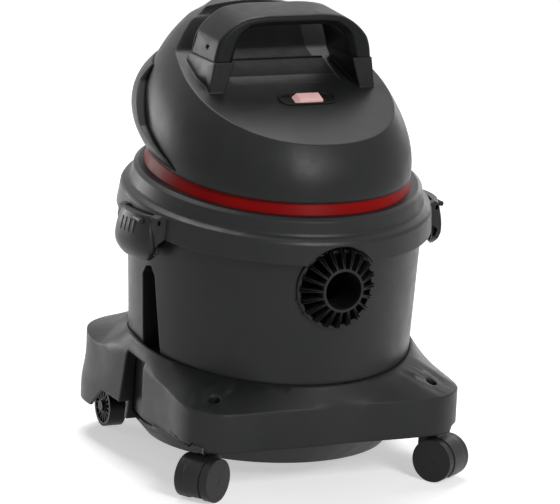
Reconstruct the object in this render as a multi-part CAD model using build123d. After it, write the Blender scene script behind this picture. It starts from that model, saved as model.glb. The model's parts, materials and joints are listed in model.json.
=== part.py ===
from build123d import *
import math
import os

os.makedirs("parts", exist_ok=True)

# Driving dimensions, millimetres. Z is up, the floor is Z = 0, the front is -Y.
WALL = 3.0  # general moulded wall
TANK_Y = 1.5  # tank axis
TANK_FLOOR = 24.0  # underside of the tank, on the dolly's tray
TANK_R0 = 130.4  # outer radius at the tank's floor
TANK_DRAFT = 0.047  # radius gained per mm of height
TILT = 6.56  # the head, the rim and the skirt line rise to the rear, degrees
HEAD_Z = 233.4  # height of the skirt's lower edge above the tank axis
LID_Y = 3.1  # centre of the round lid in the head's own frame
SKIRT_R = 150.4  # skirt radius at its lower edge
RIM_Z = 14.0  # top of the tank's rim in the head's frame
GASKET_T = 3.0
RING_Z0 = 41.0  # lid top, where the trim ring stands
RING_Z1 = 52.7  # top of the ring, where the housing stands
DECK_M = 0.37  # slope of the deck
DECK_Z = 323.0  # deck height at its front point
DECK_Y = -114.0
BEND_Y = 48.0  # the deck bends up to the rear hump here
HUMP_M = 1.41
HUMP_TOP = 425.0
SEAM_Z = 385.0  # joint between the handle posts and the grip
LEG_Y0 = -24.0
LEG_Y1 = 24.0
INLET_Z = 194.3
INLET_BORE = 18.0
SLEEVE_END = -121.0
BOSS_R = 39.0
BOSS_FACE = -152.0
WELL_R = 72.0  # well in the lid that takes the fan housing
WELL_Z = 15.0
SHAFT_R = 4.0
BEARING_PLAY = 0.05
RUN = 0.05  # radial running clearance
GAP = 0.4  # gap between moving bodies
WHEEL_R = 20.5
CASTER_X = 112.0
CASTER_Y = -123.0
TRAIL = 15.0
REAR_X = 114.0
REAR_Y = 114.0
REAR_R = 20.0
LATCH_Y = -20.0
LATCH_W = 50.0
PIVOT_X = 156.0
PIVOT_Z = 243.0

HEAD = Location((0, 0, HEAD_Z), (TILT, 0, 0))
SIN = math.sin(math.radians(TILT))
COS = math.cos(math.radians(TILT))


def save(name, shape):
    export_step(shape, f"parts/{name}.step")


def tank_r(z):
    return TANK_R0 + TANK_DRAFT * (z - TANK_FLOOR)


def turned(points, y=0.0):
    face = make_face(Polyline([(r, 0, z) for r, z in points], close=True))
    return revolve(face, Axis.Z).moved(Location((0, y, 0)))


def rod(radius, start, axis, length):
    plane = Plane(origin=start, z_dir=axis)
    return plane * Cylinder(radius, length, align=(Align.CENTER, Align.CENTER, Align.MIN))


def pipe(outer, inner, start, axis, length):
    return rod(outer, start, axis, length) - rod(inner, start, axis, length)


def block(x0, x1, y0, y1, z0, z1):
    return Pos((x0 + x1) / 2, (y0 + y1) / 2, (z0 + z1) / 2) * Box(x1 - x0, y1 - y0, z1 - z0)


def side_prism(points, x0, x1):
    face = make_face(Polyline([(x0, y, z) for y, z in points], close=True))
    return extrude(face, amount=x1 - x0, dir=(1, 0, 0))


def mirrored(shape):
    return mirror(shape, Plane.YZ)


def half_space(z0, slope, top=700.0):
    return side_prism([(-400, z0 - 400 * slope), (400, z0 + 400 * slope), (400, top), (-400, top)], -400, 400)


def oval(a, front, rear, power, z, inset=0.0):
    a, front, rear = a - inset, front + inset, rear - inset
    b, centre = (rear - front) / 2, (rear + front) / 2
    points = []
    for i in range(32):
        t = 2 * math.pi * i / 32
        r = (abs(math.cos(t) / a) ** power + abs(math.sin(t) / b) ** power) ** (-1 / power)
        points.append((r * math.cos(t), r * math.sin(t) + centre, z))
    return make_face(Spline(points, periodic=True))


# Housing sections in the head's frame: height, half width, front, rear, corner power.
SECTIONS = [
    (RING_Z1, 122.0, -123.0, 134.5, 2.15),
    (78.0, 123.0, -116.7, 152.0, 2.2),
    (103.0, 116.0, -102.0, 160.0, 2.25),
    (128.0, 102.0, -80.0, 160.0, 2.3),
    (153.0, 82.4, -54.3, 150.0, 2.35),
    (178.0, 60.0, -31.0, 128.0, 2.4),
    (206.0, 38.0, -9.0, 98.0, 2.4),
]


def housing_solid(inset):
    faces = [oval(a, f, r, p, z, inset) for z, a, f, r, p in SECTIONS]
    return HEAD * loft(faces)


def above_deck(drop):
    z0 = DECK_Z - drop
    bend_z = z0 + DECK_M * (BEND_Y - DECK_Y)
    top = HUMP_TOP - drop
    crest_y = BEND_Y + (top - bend_z) / HUMP_M
    points = [
        (-300, z0 + DECK_M * (-300 - DECK_Y)),
        (BEND_Y + drop, bend_z + DECK_M * drop),
        (crest_y + drop, top),
        (300, top),
        (300, 700),
        (-300, 700),
    ]
    return side_prism(points, -300, 300)


def deck_z(y):
    return DECK_Z + DECK_M * (y - DECK_Y)


def arch(half_bottom, half_top, top_front, top_rear, radius, y0, y1):
    faces = []
    for y, top in ((y0, top_front), (y1, top_rear)):
        corners = [(-half_bottom, y, 330), (half_bottom, y, 330), (half_top, y, top), (-half_top, y, top)]
        face = make_face(Polyline(corners, close=True))
        upper = [v for v in face.vertices() if v.Z > 400]
        faces.append(fillet(upper, radius))
    return loft(faces)


# ---------------------------------------------------------------- tank
outer_tank = turned(
    [(0, TANK_FLOOR), (113.8, TANK_FLOOR), (tank_r(44), 44), (tank_r(285), 285), (0, 285)],
    TANK_Y,
)
inner_tank = turned(
    [
        (0, TANK_FLOOR + WALL),
        (112.2, TANK_FLOOR + WALL),
        (tank_r(45.2) - WALL, 45.2),
        (tank_r(300) - WALL, 300),
        (0, 300),
    ],
    TANK_Y,
)
above_rim = HEAD * block(-300, 300, -300, 300, RIM_Z, 500)


def grip_recess(grow):
    points = [
        (-36 - grow, 110 - grow),
        (-6 + grow, 110 - grow),
        (-6 + grow, 184),
        (-13, 193 + grow),
        (-22, 195 + grow),
        (-28 - grow, 186),
    ]
    right = side_prism(points, 118 - grow, 160)
    return right + mirrored(right)


catch = block(136.5, 146.6, LATCH_Y - 16, LATCH_Y + 16, 213.5, 219.5)
catch = catch + block(136.0, 141.0, LATCH_Y - 1.5, LATCH_Y + 1.5, 202, 214)
rim = HEAD * pipe(144.0, 138.0, (0, LID_Y, RIM_Z - 4), (0, 0, 1), 4)
shell = outer_tank - inner_tank
liner = (grip_recess(WALL) & outer_tank) - grip_recess(0)
tank = (shell - grip_recess(0)) + liner
tank = (tank - above_rim) + rim + catch + mirrored(catch)
inlet_hole = rod(30.0, (0, -200, INLET_Z), (0, 1, 0), 120)
tank = tank - inlet_hole

gasket_ring = HEAD * pipe(142.0, 138.4, (0, LID_Y, RIM_Z), (0, 0, 1), GASKET_T)

# ---------------------------------------------------------------- inlet
fitting_tube = rod(20.5, (0, -150.5, INLET_Z), (0, 1, 0), 34)
fitting_body = rod(BOSS_R, (0, BOSS_FACE, INLET_Z), (0, 1, 0), 20)
outside = turned([(tank_r(100) + 0.35, 100), (200, 100), (200, 300), (tank_r(300) + 0.35, 300)], TANK_Y)
fitting_body = (fitting_body & outside) - HEAD * rod(144.8, (0, LID_Y, 9.2), (0, 0, 1), 60)
pocket = pipe(36.0, 20.5, (0, BOSS_FACE - 1, INLET_Z), (0, 1, 0), 11.5)
ribs = []
for i in range(20):
    rib = Pos(28.2, 0, 0) * Box(16.0, 9.6, 1.7)
    rib = Location((0, BOSS_FACE + 5.6, INLET_Z), (0, 360 / 20 * i, 0)) * rib
    ribs.append(rib)
inner_sleeve = rod(29.6, (0, SLEEVE_END - 20, INLET_Z), (0, 1, 0), 20)
inlet_fitting = (fitting_body + inner_sleeve) - pocket + ribs + fitting_tube
inlet_fitting = inlet_fitting - rod(INLET_BORE, (0, -160, INLET_Z), (0, 1, 0), 60)
inlet_nut = pipe(35.0, 29.7, (0, -127.8, INLET_Z), (0, 1, 0), 5.5)
nut_lugs = []
for i in range(6):
    lug = Pos(36.0, 0, 0) * Box(5.0, 5.5, 8.0)
    nut_lugs.append(Location((0, -125.05, INLET_Z), (0, 60 * i, 0)) * lug)
inlet_nut = inlet_nut + nut_lugs
deflector_out = rod(24.0, (0, SLEEVE_END + 0.2, INLET_Z), (0, 1, 0), 38.8)
deflector_in = rod(20.6, (0, SLEEVE_END + 0.2, INLET_Z), (0, 1, 0), 35.8)
deflector = (deflector_out - deflector_in) - block(-14, 14, -108, -80, INLET_Z - 40, INLET_Z - 8)

# ---------------------------------------------------------------- lid
lid = turned(
    [
        (SKIRT_R, 0),
        (148.2, 19.2),
        (147.0, 21.4),
        (138.6, 30.0),
        (137.7, 31.4),
        (134.6, 39.6),
        (133.2, RING_Z0),
        (WELL_R, RING_Z0),
        (WELL_R, WELL_Z + WALL),
        (22, WELL_Z + WALL),
        (22, WELL_Z),
        (WELL_R + WALL, WELL_Z),
        (WELL_R + WALL, RING_Z0 - WALL),
        (131.4, RING_Z0 - WALL),
        (134.2, 29.0),
        (134.2, RIM_Z + GASKET_T),
        (142.0, RIM_Z + GASKET_T),
        (142.0, 22.0),
        (145.0, 19.2),
        (147.4, 0),
    ],
    LID_Y,
)
lid = HEAD * lid
boss_notch = rod(BOSS_R + 1.0, (0, -200, INLET_Z), (0, 1, 0), 80)
lid = lid - boss_notch
lug_profile = [
    (137.0, 228),
    (137.0, 247),
    (152, 249.5),
    (160, 247),
    (162, 238),
    (160, 222),
    (154, 214),
    (146.9, 212),
    (145.5, 222),
]
lug_face = make_face(Polyline([(x, 0, z) for x, z in lug_profile], close=True))
front_lug = extrude(lug_face, amount=9, dir=(0, 1, 0)).moved(Location((0, LATCH_Y - LATCH_W / 2 - GAP - 9, 0)))
rear_lug = extrude(lug_face, amount=9, dir=(0, 1, 0)).moved(Location((0, LATCH_Y + LATCH_W / 2 + GAP, 0)))
skirt_side = HEAD * turned([(146.6, -40), (220, -40), (220, 60), (146.6, 60)], LID_Y)
tank_side = turned([(tank_r(240) + 4.5, 100), (260, 100), (260, 300), (tank_r(240) + 4.5, 300)], TANK_Y)
lugs = ((front_lug + rear_lug) & (skirt_side + block(130, 200, -80, 40, 100, 234))) & tank_side
pin_hole = rod(2.5, (PIVOT_X, LATCH_Y - 60, PIVOT_Z), (0, 1, 0), 120)
lugs = lugs - pin_hole
lid = lid + lugs + mirrored(lugs)
lid_screw_spots = [(96.0, -50.0), (96.0, 62.0), (-96.0, -50.0), (-96.0, 62.0)]
for x, y in lid_screw_spots:
    lid = lid - HEAD * rod(2.6, (x, y, 30), (0, 0, 1), 20)

# ---------------------------------------------------------------- latches
latch_outline = [
    (151.6, 238.0),
    (151.9, 245.5),
    (155.0, 247.6),
    (158.6, 246.4),
    (162.0, 240.0),
    (164.4, 224.0),
    (164.2, 212.0),
    (161.0, 205.0),
    (155.0, 202.6),
    (149.6, 204.0),
    (147.3, 206.4),
    (147.3, 212.0),
    (149.6, 214.6),
    (150.8, 218.0),
    (151.2, 228.0),
]
latch_face = make_face(Polyline([(x, 0, z) for x, z in latch_outline], close=True))
latch_right = extrude(latch_face, amount=LATCH_W, dir=(0, 1, 0))
latch_right = latch_right.moved(Location((0, LATCH_Y - LATCH_W / 2, 0)))
latch_trim = rod(30.0, (120, LATCH_Y, 228), (1, 0, 0), 60)
latch_trim = latch_trim + block(120, 180, LATCH_Y - 25, LATCH_Y + 25, 222, 250)
latch_right = latch_right & latch_trim
skirt_clear = HEAD * turned([(SKIRT_R + 0.9, -60), (230, -60), (230, 80), (SKIRT_R + 0.9, 80)], LID_Y)
latch_right = latch_right & (skirt_clear + block(130, 200, -80, 40, 100, 227))
latch_right = latch_right - rod(2.6 + RUN, (PIVOT_X, LATCH_Y - 60, PIVOT_Z), (0, 1, 0), 120)
for i in range(4):
    y = LATCH_Y - 10 + i * 6.6
    groove = block(162.2, 168.0, y - 1.4, y + 1.4, 228, 243)
    latch_right = latch_right - groove
latch_left = mirrored(latch_right)
pin = rod(2.5, (PIVOT_X, LATCH_Y - LATCH_W / 2 - 8.4, PIVOT_Z), (0, 1, 0), LATCH_W + 16.8)
latch_pins = [pin, mirrored(pin)]

# ---------------------------------------------------------------- trim ring and housing
ring_lower = oval(126.6, -127.4, 133.0, 2.1, RING_Z0)
ring_upper = oval(121.6, -122.6, 133.0, 2.15, RING_Z1)
ring_lower_in = oval(116.0, -117.0, 126.0, 2.1, RING_Z0)
ring_upper_in = oval(116.0, -117.0, 126.0, 2.15, RING_Z1)
trim_ring = HEAD * (loft([ring_lower, ring_upper]) - loft([ring_lower_in, ring_upper_in]))

solid_outer = housing_solid(0)
solid_inner = housing_solid(WALL)
boss_cores = []
boss_feet = []
for x, y in lid_screw_spots:
    web_end = math.copysign(130, x)
    web = block(min(x, web_end), max(x, web_end), y - 1.5, y + 1.5, RING_Z1 - 4, 75)
    boss_cores.append(HEAD * (rod(7.0, (x, y, RING_Z1 - 4), (0, 0, 1), 26.3) + web))
    boss_feet.append(HEAD * rod(7.0, (x, y, RING_Z0), (0, 0, 1), RING_Z1 - RING_Z0 + 1.0))
cavity = (solid_inner - above_deck(3.4)) - boss_cores
housing = (solid_outer - above_deck(0)) - cavity
leg_outer = arch(93.0, 66.0, 427.5, 431.5, 27.0, LEG_Y0, LEG_Y1)
leg_inner = arch(75.0, 48.5, 417.5, 417.5, 15.0, LEG_Y0 - 20, LEG_Y1 + 20)
handle = leg_outer - leg_inner
posts = handle - block(-200, 200, -100, 100, SEAM_Z, 600)
posts = posts & above_deck(1.0)
posts = posts & side_prism([(-60, 340), (60, 340), (60, 500), (-60, 500)], -300, 300)
grip = handle & block(-200, 200, -100, 100, SEAM_Z, 600)
grip = fillet([e for e in grip.edges().filter_by(GeomType.LINE) if e.center().Z > 425], 4.0)
slot_right = Location((79.5, -8, 404), (24, 24, 0)) * Box(7, 4.5, 20)
grip = grip - slot_right - mirrored(slot_right)
panel_plane = Plane(origin=(0, 10, deck_z(10)), x_dir=(1, 0, 0), z_dir=(0, -DECK_M, 1))
panel = panel_plane * Box(112, 46, 2.4)
SWITCH = Plane(origin=(8, -39, deck_z(-39)), x_dir=(1, 0, 0), z_dir=(0, -DECK_M, 1))
bezel_hole = SWITCH * extrude(RectangleRounded(58.4, 20.4, 9.7), amount=6, both=True)
housing = (housing - panel) + posts - bezel_hole
gland_axis = (46.0, 140.0, 128.0)
gland_boss = HEAD * pipe(12.0, 8.0, (gland_axis[0], 134, gland_axis[2]), (0, 1, 0), 22)
gland_bore = HEAD * rod(8.0, (gland_axis[0], 110, gland_axis[2]), (0, 1, 0), 60)
housing = (housing + gland_boss) - gland_bore
cord_gland = HEAD * pipe(7.9, 4.0, (gland_axis[0], 128, gland_axis[2]), (0, 1, 0), 28)
cord_gland = cord_gland + HEAD * pipe(11.0, 4.0, (gland_axis[0], 156, gland_axis[2]), (0, 1, 0), 3)
for i in range(4):
    cord_gland = cord_gland - HEAD * pipe(12, 6.0, (gland_axis[0], 131 + 6 * i, gland_axis[2]), (0, 1, 0), 2)
bores = []
screws = []
for x, y in lid_screw_spots:
    bores.append(HEAD * rod(1.9, (x, y, RING_Z0 - 1), (0, 0, 1), 30))
    screw = HEAD * (rod(1.9, (x, y, 38.0), (0, 0, 1), 22) + rod(4.2, (x, y, 35.6), (0, 0, 1), 2.4))
    screws.append(screw)
housing = (housing + boss_feet) - bores

# ---------------------------------------------------------------- exhaust cowl
COWL = [
    (56.0, 122.6, -122.0, 137.0, 2.15, 0.6),
    (70.0, 123.2, -119.0, 153.0, 2.2, 5.6),
    (88.0, 121.5, -112.0, 164.9, 2.22, 7.2),
    (106.0, 115.2, -99.5, 168.0, 2.26, 5.6),
    (122.0, 106.0, -86.0, 163.0, 2.3, 1.2),
]
cowl_outer = HEAD * loft([oval(a, f, r, p, z, -grow) for z, a, f, r, p, grow in COWL])
skin = housing_solid(-0.3)
cowl_edge = [(-62, 270), (20, 262), (260, 262), (260, 470), (92, 470), (76, 351), (34, 316), (4, 303), (-20, 293)]
cowl_keep = side_prism(cowl_edge, -300, 300)
cowl = (cowl_outer - skin) & cowl_keep
cowl = cowl - HEAD * rod(12.6, (gland_axis[0], 100, gland_axis[2]), (0, 1, 0), 90)
for i in range(7):
    z = 68.0 + i * 6.4
    slit = HEAD * block(-62 + i, 62 - i, 120, 200, z, z + 2.6)
    cowl = cowl - slit

# ---------------------------------------------------------------- switch
bezel = SWITCH * extrude(RectangleRounded(58, 20, 9.5), amount=-3.2)
bezel = bezel + SWITCH * extrude(RectangleRounded(58, 20, 9.5) - RectangleRounded(54, 16, 7.5), amount=1.2)
bezel = bezel - SWITCH * extrude(Rectangle(29.0, 14.0), amount=8, both=True)
switch_body = SWITCH * (Pos(0, 0, -11.6) * (Box(32.0, 17.0, 16.8)) - Pos(0, 0, -9.0) * Box(28.6, 13.6, 16.0))
rocker_profile = [(-13.6, -2.0), (0, 3.6), (13.6, 2.6), (13.6, -1.0), (5, -6.4), (-5, -6.4), (-13.6, -4.6)]
rocker_face = make_face(Polyline([(x, -6.4, z) for x, z in rocker_profile], close=True))
rocker = extrude(rocker_face, amount=12.8, dir=(0, 1, 0))
rocker = rocker - rod(1.5 + RUN, (0, -10, -3.6), (0, 1, 0), 20)
rocker = SWITCH * rocker
rocker_pin = SWITCH * rod(1.5, (0, -6.8, -3.6), (0, 1, 0), 13.6)

# ---------------------------------------------------------------- dolly
EDGE_PLANE = 101.5
TOP_PLANE = 117.5
DOLLY_M = 0.13
OUTLINE = [
    (0, -147.5),
    (52, -147.5),
    (98, -146),
    (124, -137),
    (136.5, -116),
    (140.5, -80),
    (142.5, -36),
    (144.5, 4),
    (149, 36),
    (154, 66),
    (154.5, 96),
    (143, 124),
    (112, 141),
    (58, 146),
    (0, 146),
]


def dolly_face(z0, inset):
    points = []
    for x, y in OUTLINE:
        length = math.hypot(x, y)
        points.append((x * (1 - inset / length), y * (1 - inset / length)))
    left = [(-x, y) for x, y in reversed(points[1:-1])]
    full = [(x, y, z0 + DOLLY_M * y) for x, y in points + left]
    wire = Spline(full, periodic=True)
    return make_face(wire)


def dolly_solid(z_edge, z_top, inset, radius, low):
    edge_face = dolly_face(z_edge, inset)
    circle = []
    for i in range(28):
        t = math.tau * i / 28 - math.pi / 2
        x, y = radius * math.cos(t), radius * math.sin(t) + TANK_Y
        circle.append((x, y, z_top + DOLLY_M * y))
    top_face = make_face(Spline(circle, periodic=True))
    lower = extrude(edge_face, amount=z_edge + 40 - low, dir=(0, 0, -1))
    body = lower + loft([edge_face, top_face])
    return body & block(-300, 300, -300, 300, low, 400)


outer_dolly = dolly_solid(EDGE_PLANE, TOP_PLANE, 0, 138.2, 34)
inner_dolly = dolly_solid(EDGE_PLANE - 3.2, TOP_PLANE - 3.2, WALL, 138.6, 20)
pan_outer = turned([(0, 20), (116, 20), (134.8, 42), (139.0, 140), (0, 140)], TANK_Y)
pan_inner = turned([(0, TANK_FLOOR), (114.6, TANK_FLOOR), (131.8, 44), (136.6, 145), (0, 145)], TANK_Y)
tray = turned([(0, 20), (116, 20), (134.8, 42), (135.2, 60), (0, 60)], TANK_Y)
gap_wall = side_prism([(-31, 20), (30.6, 20), (11.4, 109), (-31, 105)], 121.0, 160.0)
gap_cut = side_prism([(-28, 10), (27, 10), (7.5, 106), (-28, 102)], 124.0, 300)
socket = rod(8.5, (CASTER_X, CASTER_Y, 10), (0, 0, 1), 120)
bracket = block(REAR_X - 25, REAR_X - 10.5, REAR_Y - 11, REAR_Y + 11, 10, 140)
kept = gap_wall + socket + bracket
hollow = ((inner_dolly - pan_outer) - kept) - mirrored(kept)
dolly = (outer_dolly + tray) - hollow
dolly = dolly - pan_inner
dolly = dolly - side_prism([(-200, 0), (20, 0), (20, 46), (-200, 46)], -300, 300) + (tray - pan_inner)
dolly = dolly - gap_cut - mirrored(gap_cut)
notch = side_prism([(18, 0), (18, 52.6), (52, 56), (77, 33), (77, 0)], 136.2, 300)
dolly = dolly - notch - mirrored(notch)
for i in range(6):
    slot = Location((0, TANK_Y, 22), (0, 0, 60 * i + 30)) * Pos(70, 0, 0) * Box(60, 14, 8)
    dolly = dolly - slot
low_bracket = block(REAR_X - 25, REAR_X - 10.5, REAR_Y - 11, REAR_Y + 11, REAR_R, 36)
low_bracket = low_bracket + rod(11.0, (REAR_X - 25, REAR_Y, REAR_R), (1, 0, 0), 14.5)
low_bracket = low_bracket - pan_outer
wheel_room = rod(REAR_R + 3, (REAR_X - 10.5, REAR_Y, REAR_R), (1, 0, 0), 23)
cuts = rod(5.2, (CASTER_X, CASTER_Y, 74), (0, 0, 1), 60)
cuts = cuts + rod(4.0 + RUN, (CASTER_X, CASTER_Y, 0), (0, 0, 1), 80.0)
cuts = cuts + rod(3.0, (REAR_X - 22, REAR_Y, REAR_R), (1, 0, 0), 40)
cuts = cuts + wheel_room
dolly = dolly + low_bracket + mirrored(low_bracket)
dolly = dolly - cuts - mirrored(cuts)

# ---------------------------------------------------------------- rear wheels
rear_axle = rod(3.0, (REAR_X - 22, REAR_Y, REAR_R), (1, 0, 0), 31)
rear_axle = rear_axle + rod(5.5, (REAR_X + 9.0, REAR_Y, REAR_R), (1, 0, 0), 1.6)
rear_axles = [rear_axle, mirrored(rear_axle)]
rear_wheel = rod(REAR_R, (REAR_X - 8.5, REAR_Y, REAR_R), (1, 0, 0), 17)
rear_wheel = rear_wheel - pipe(16.5, 6.5, (REAR_X + 4.5, REAR_Y, REAR_R), (1, 0, 0), 5)
rear_wheel = rear_wheel - pipe(16.5, 6.5, (REAR_X - 9.5, REAR_Y, REAR_R), (1, 0, 0), 5)
spokes = []
for i in range(16):
    spoke = Location((REAR_X, REAR_Y, REAR_R), (22.5 * i, 0, 0)) * Pos(0, 0, 11.5) * Box(15.0, 1.6, 10.6)
    spokes.append(spoke)
rear_wheel = (rear_wheel + spokes) - rod(3.0 + RUN, (REAR_X - 20, REAR_Y, REAR_R), (1, 0, 0), 40)

# ---------------------------------------------------------------- front casters
# Each is built with its axle along X and its stem on Z, trailing along -Y, then turned.
CASTER_ANGLE = {"left": -57.0, "right": 32.2}
caster_hood = pipe(21.2, 17.6, (-8.6, -TRAIL, WHEEL_R), (1, 0, 0), 17.2)
caster_hood = caster_hood + rod(18.5, (-1.6, -TRAIL, WHEEL_R), (1, 0, 0), 3.2)
caster_hood = caster_hood - block(-20, 20, -60, 30, -10, 5.0)
neck = rod(9.0, (0, 0, 24), (0, 0, 1), 21.5) - rod(17.6, (-20, -TRAIL, WHEEL_R), (1, 0, 0), 40)
caster_hood = caster_hood + neck
caster_hood = caster_hood - rod(4.0, (0, 0, 30), (0, 0, 1), 20) - rod(2.5, (-20, -TRAIL, WHEEL_R), (1, 0, 0), 40)
caster_stem = rod(4.0, (0, 0, 33.8), (0, 0, 1), 38.7)
caster_axle = rod(2.5, (-17.0, -TRAIL, WHEEL_R), (1, 0, 0), 34)
caster_wheel = rod(WHEEL_R, (9.0, -TRAIL, WHEEL_R), (1, 0, 0), 8.4) + rod(16.8, (2.2, -TRAIL, WHEEL_R), (1, 0, 0), 6.8)
caster_wheel = caster_wheel - rod(2.5 + RUN, (0, -TRAIL, WHEEL_R), (1, 0, 0), 40)
caster_wheel = caster_wheel + rod(7.0, (17.3, -TRAIL, WHEEL_R), (1, 0, 0), 0.9)
caster_wheel = caster_wheel - rod(2.5 + RUN, (0, -TRAIL, WHEEL_R), (1, 0, 0), 17.2)
caster_wheel_2 = mirrored(caster_wheel)

# ---------------------------------------------------------------- motor and fan, in the head's frame
def ring(outer, inner, z0, z1):
    return HEAD * pipe(outer, inner, (0, LID_Y, z0), (0, 0, 1), z1 - z0)


def disc(radius, z0, z1):
    return HEAD * rod(radius, (0, LID_Y, z0), (0, 0, 1), z1 - z0)


def around(shape, count, start=0.0):
    return [HEAD * Location((0, LID_Y, 0), (0, 0, start + 360 / count * i)) * shape for i in range(count)]


motor_gasket = ring(66.0, 52.0, 18.0, 20.0)
fan_housing = ring(66.0, 64.8, 20.0, 48.0) + ring(66.0, 20.0, 20.0, 21.2) + ring(66.0, 12.0, 46.8, 48.0)
fan_housing = fan_housing - around(Pos(65, 0, 34) * Box(8, 20, 14), 8)
blades = around(Pos(34, 0, 33) * Location((0, 0, 0), (0, 0, 35)) * Box(1.6, 40, 12.4), 7)
impeller = ring(60.0, SHAFT_R, 38.8, 40.0) + ring(60.0, 24.0, 26.0, 27.2) + ring(10.0, SHAFT_R, 24.0, 45.0)
impeller = impeller + [b & ring(59.0, 9.0, 26.6, 39.4) for b in blades]
impeller = impeller - disc(SHAFT_R, 10, 60)
fan_nut = HEAD * (Pos(0, LID_Y, 21.6) * extrude(RegularPolygon(6.5, 6), amount=2.4))
fan_nut = fan_nut - disc(SHAFT_R, 20, 26)
motor_shaft = disc(SHAFT_R, 21.4, 105.0)
bearing_lower = ring(11.0, SHAFT_R + BEARING_PLAY, 50.0, 57.0)
bearing_upper = ring(9.5, SHAFT_R + BEARING_PLAY, 98.4, 104.4)
motor_frame = ring(56.0, 12.0, 48.0, 50.0) + ring(14.0, 11.0, 50.0, 57.0) + ring(43.2, 41.4, 50.0, 94.0)
motor_frame = motor_frame + ring(43.2, 9.5, 94.0, 96.0) + ring(13.0, 9.5, 96.0, 104.4)
motor_frame = motor_frame - around(Pos(42, 0, 84) * Box(12, 26, 12), 4, 45)
stator = ring(41.4, 25.0, 58.0, 80.0)
field_coils = []
for y, z in ((31, 83.5), (-31, 83.5), (31, 54.5), (-31, 54.5)):
    field_coils.append(HEAD * Pos(0, LID_Y + y, z) * Box(34, 9, 6))
armature = ring(24.0, SHAFT_R, 59.0, 79.0) + ring(19.0, SHAFT_R, 57.6, 59.0) + ring(19.0, SHAFT_R, 79.0, 82.0)
armature = armature - around(Pos(24, 0, 69) * Box(3.0, 2.2, 30), 12)
commutator = ring(11.0, SHAFT_R, 82.4, 92.0)
brush_holders = []
brushes = []
for sign in (-1, 1):
    holder = Pos(sign * 27.2, LID_Y, 88) * (Box(27.0, 9.0, 9.0) - Box(40.0, 6.4, 6.4))
    brush_holders.append(HEAD * holder)
    brush = Pos(sign * 21.0, LID_Y, 88) * Box(19.0, 6.4, 6.4)
    brushes.append(HEAD * (brush - rod(11.0 + RUN, (0, LID_Y, 80), (0, 0, 1), 20)))
motor_screws = []
for i in range(3):
    t = math.radians(120 * i + 90)
    x, y = 50.0 * math.cos(t), LID_Y + 50.0 * math.sin(t)
    screw = rod(2.0, (x, y, 46.8), (0, 0, 1), 3.2) + rod(4.0, (x, y, 50.0), (0, 0, 1), 2.4)
    motor_screws.append(HEAD * screw)
    hole = HEAD * rod(2.0, (x, y, 40), (0, 0, 1), 12)
    motor_frame = motor_frame - hole
    fan_housing = fan_housing - hole

# ---------------------------------------------------------------- filter group, in the head's frame
cage = ring(56.0, 17.0, 12.0, 15.0) + ring(49.0, 44.0, -76.0, -72.0) + disc(49.0, -79.0, -76.0)
cage = cage + around(Pos(46.5, 0, -30.5) * Box(5.0, 5.0, 91.0), 10)
cage = cage + ring(49.0, 44.0, -32.0, -29.0)
cage = cage + around(Pos(21.7, 0, -32.0) * Box(2.4, 3.0, 88.0), 4)
for i in range(8):
    cage = cage - HEAD * Location((0, LID_Y, -77.5), (0, 0, 45 * i)) * Pos(32, 0, 0) * Cylinder(6.0, 8.0)
float_ball = HEAD * (Pos(0, LID_Y, -56.5) * (Sphere(19.0) - Sphere(17.6)))
foam = ring(61.0, 49.4, -70.0, 10.0)
foam_band = ring(63.5, 61.0, -2.0, 4.0)

parts = {
    "tank": tank,
    "tank_gasket": gasket_ring,
    "inlet_fitting": inlet_fitting,
    "inlet_nut": inlet_nut,
    "inlet_deflector": deflector,
    "lid": lid,
    "latch_left": latch_left,
    "latch_right": latch_right,
    "latch_pins": latch_pins,
    "trim_ring": trim_ring,
    "housing": housing,
    "housing_screws": screws,
    "exhaust_cowl": cowl,
    "handle_grip": grip,
    "cord_gland": cord_gland,
    "switch_bezel": bezel,
    "switch_body": switch_body,
    "switch_rocker": rocker,
    "switch_pin": rocker_pin,
    "dolly": dolly,
    "rear_axles": rear_axles,
    "rear_wheel_right": rear_wheel,
    "rear_wheel_left": mirrored(rear_wheel),
    "motor_gasket": motor_gasket,
    "fan_housing": fan_housing,
    "impeller": impeller,
    "fan_nut": fan_nut,
    "motor_shaft": motor_shaft,
    "bearing_lower": bearing_lower,
    "bearing_upper": bearing_upper,
    "motor_frame": motor_frame,
    "stator": stator,
    "field_coils": field_coils,
    "armature": armature,
    "commutator": commutator,
    "brush_holders": brush_holders,
    "brushes": brushes,
    "motor_screws": motor_screws,
    "filter_cage": cage,
    "float_ball": float_ball,
    "filter_foam": foam,
    "foam_band": foam_band,
}
for side, sign in (("left", -1), ("right", 1)):
    turn = Location((sign * CASTER_X, CASTER_Y, 0), (0, 0, CASTER_ANGLE[side]))
    parts[f"caster_hood_{side}"] = turn * caster_hood
    parts[f"caster_stem_{side}"] = turn * caster_stem
    parts[f"caster_axle_{side}"] = turn * caster_axle
    parts[f"caster_wheel_{side}_a"] = turn * caster_wheel
    parts[f"caster_wheel_{side}_b"] = turn * caster_wheel_2

for name, shape in parts.items():
    if isinstance(shape, list):
        shape = Compound(children=[s.solids()[0] for s in shape])
    save(name, shape)
    box = shape.bounding_box()
    low, high = [round(v, 1) for v in box.min], [round(v, 1) for v in box.max]
    print(name, len(shape.solids()), round(shape.volume), low, high)
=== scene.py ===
import json
import math

import bmesh
import bpy
from mathutils import Matrix, Vector


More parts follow.
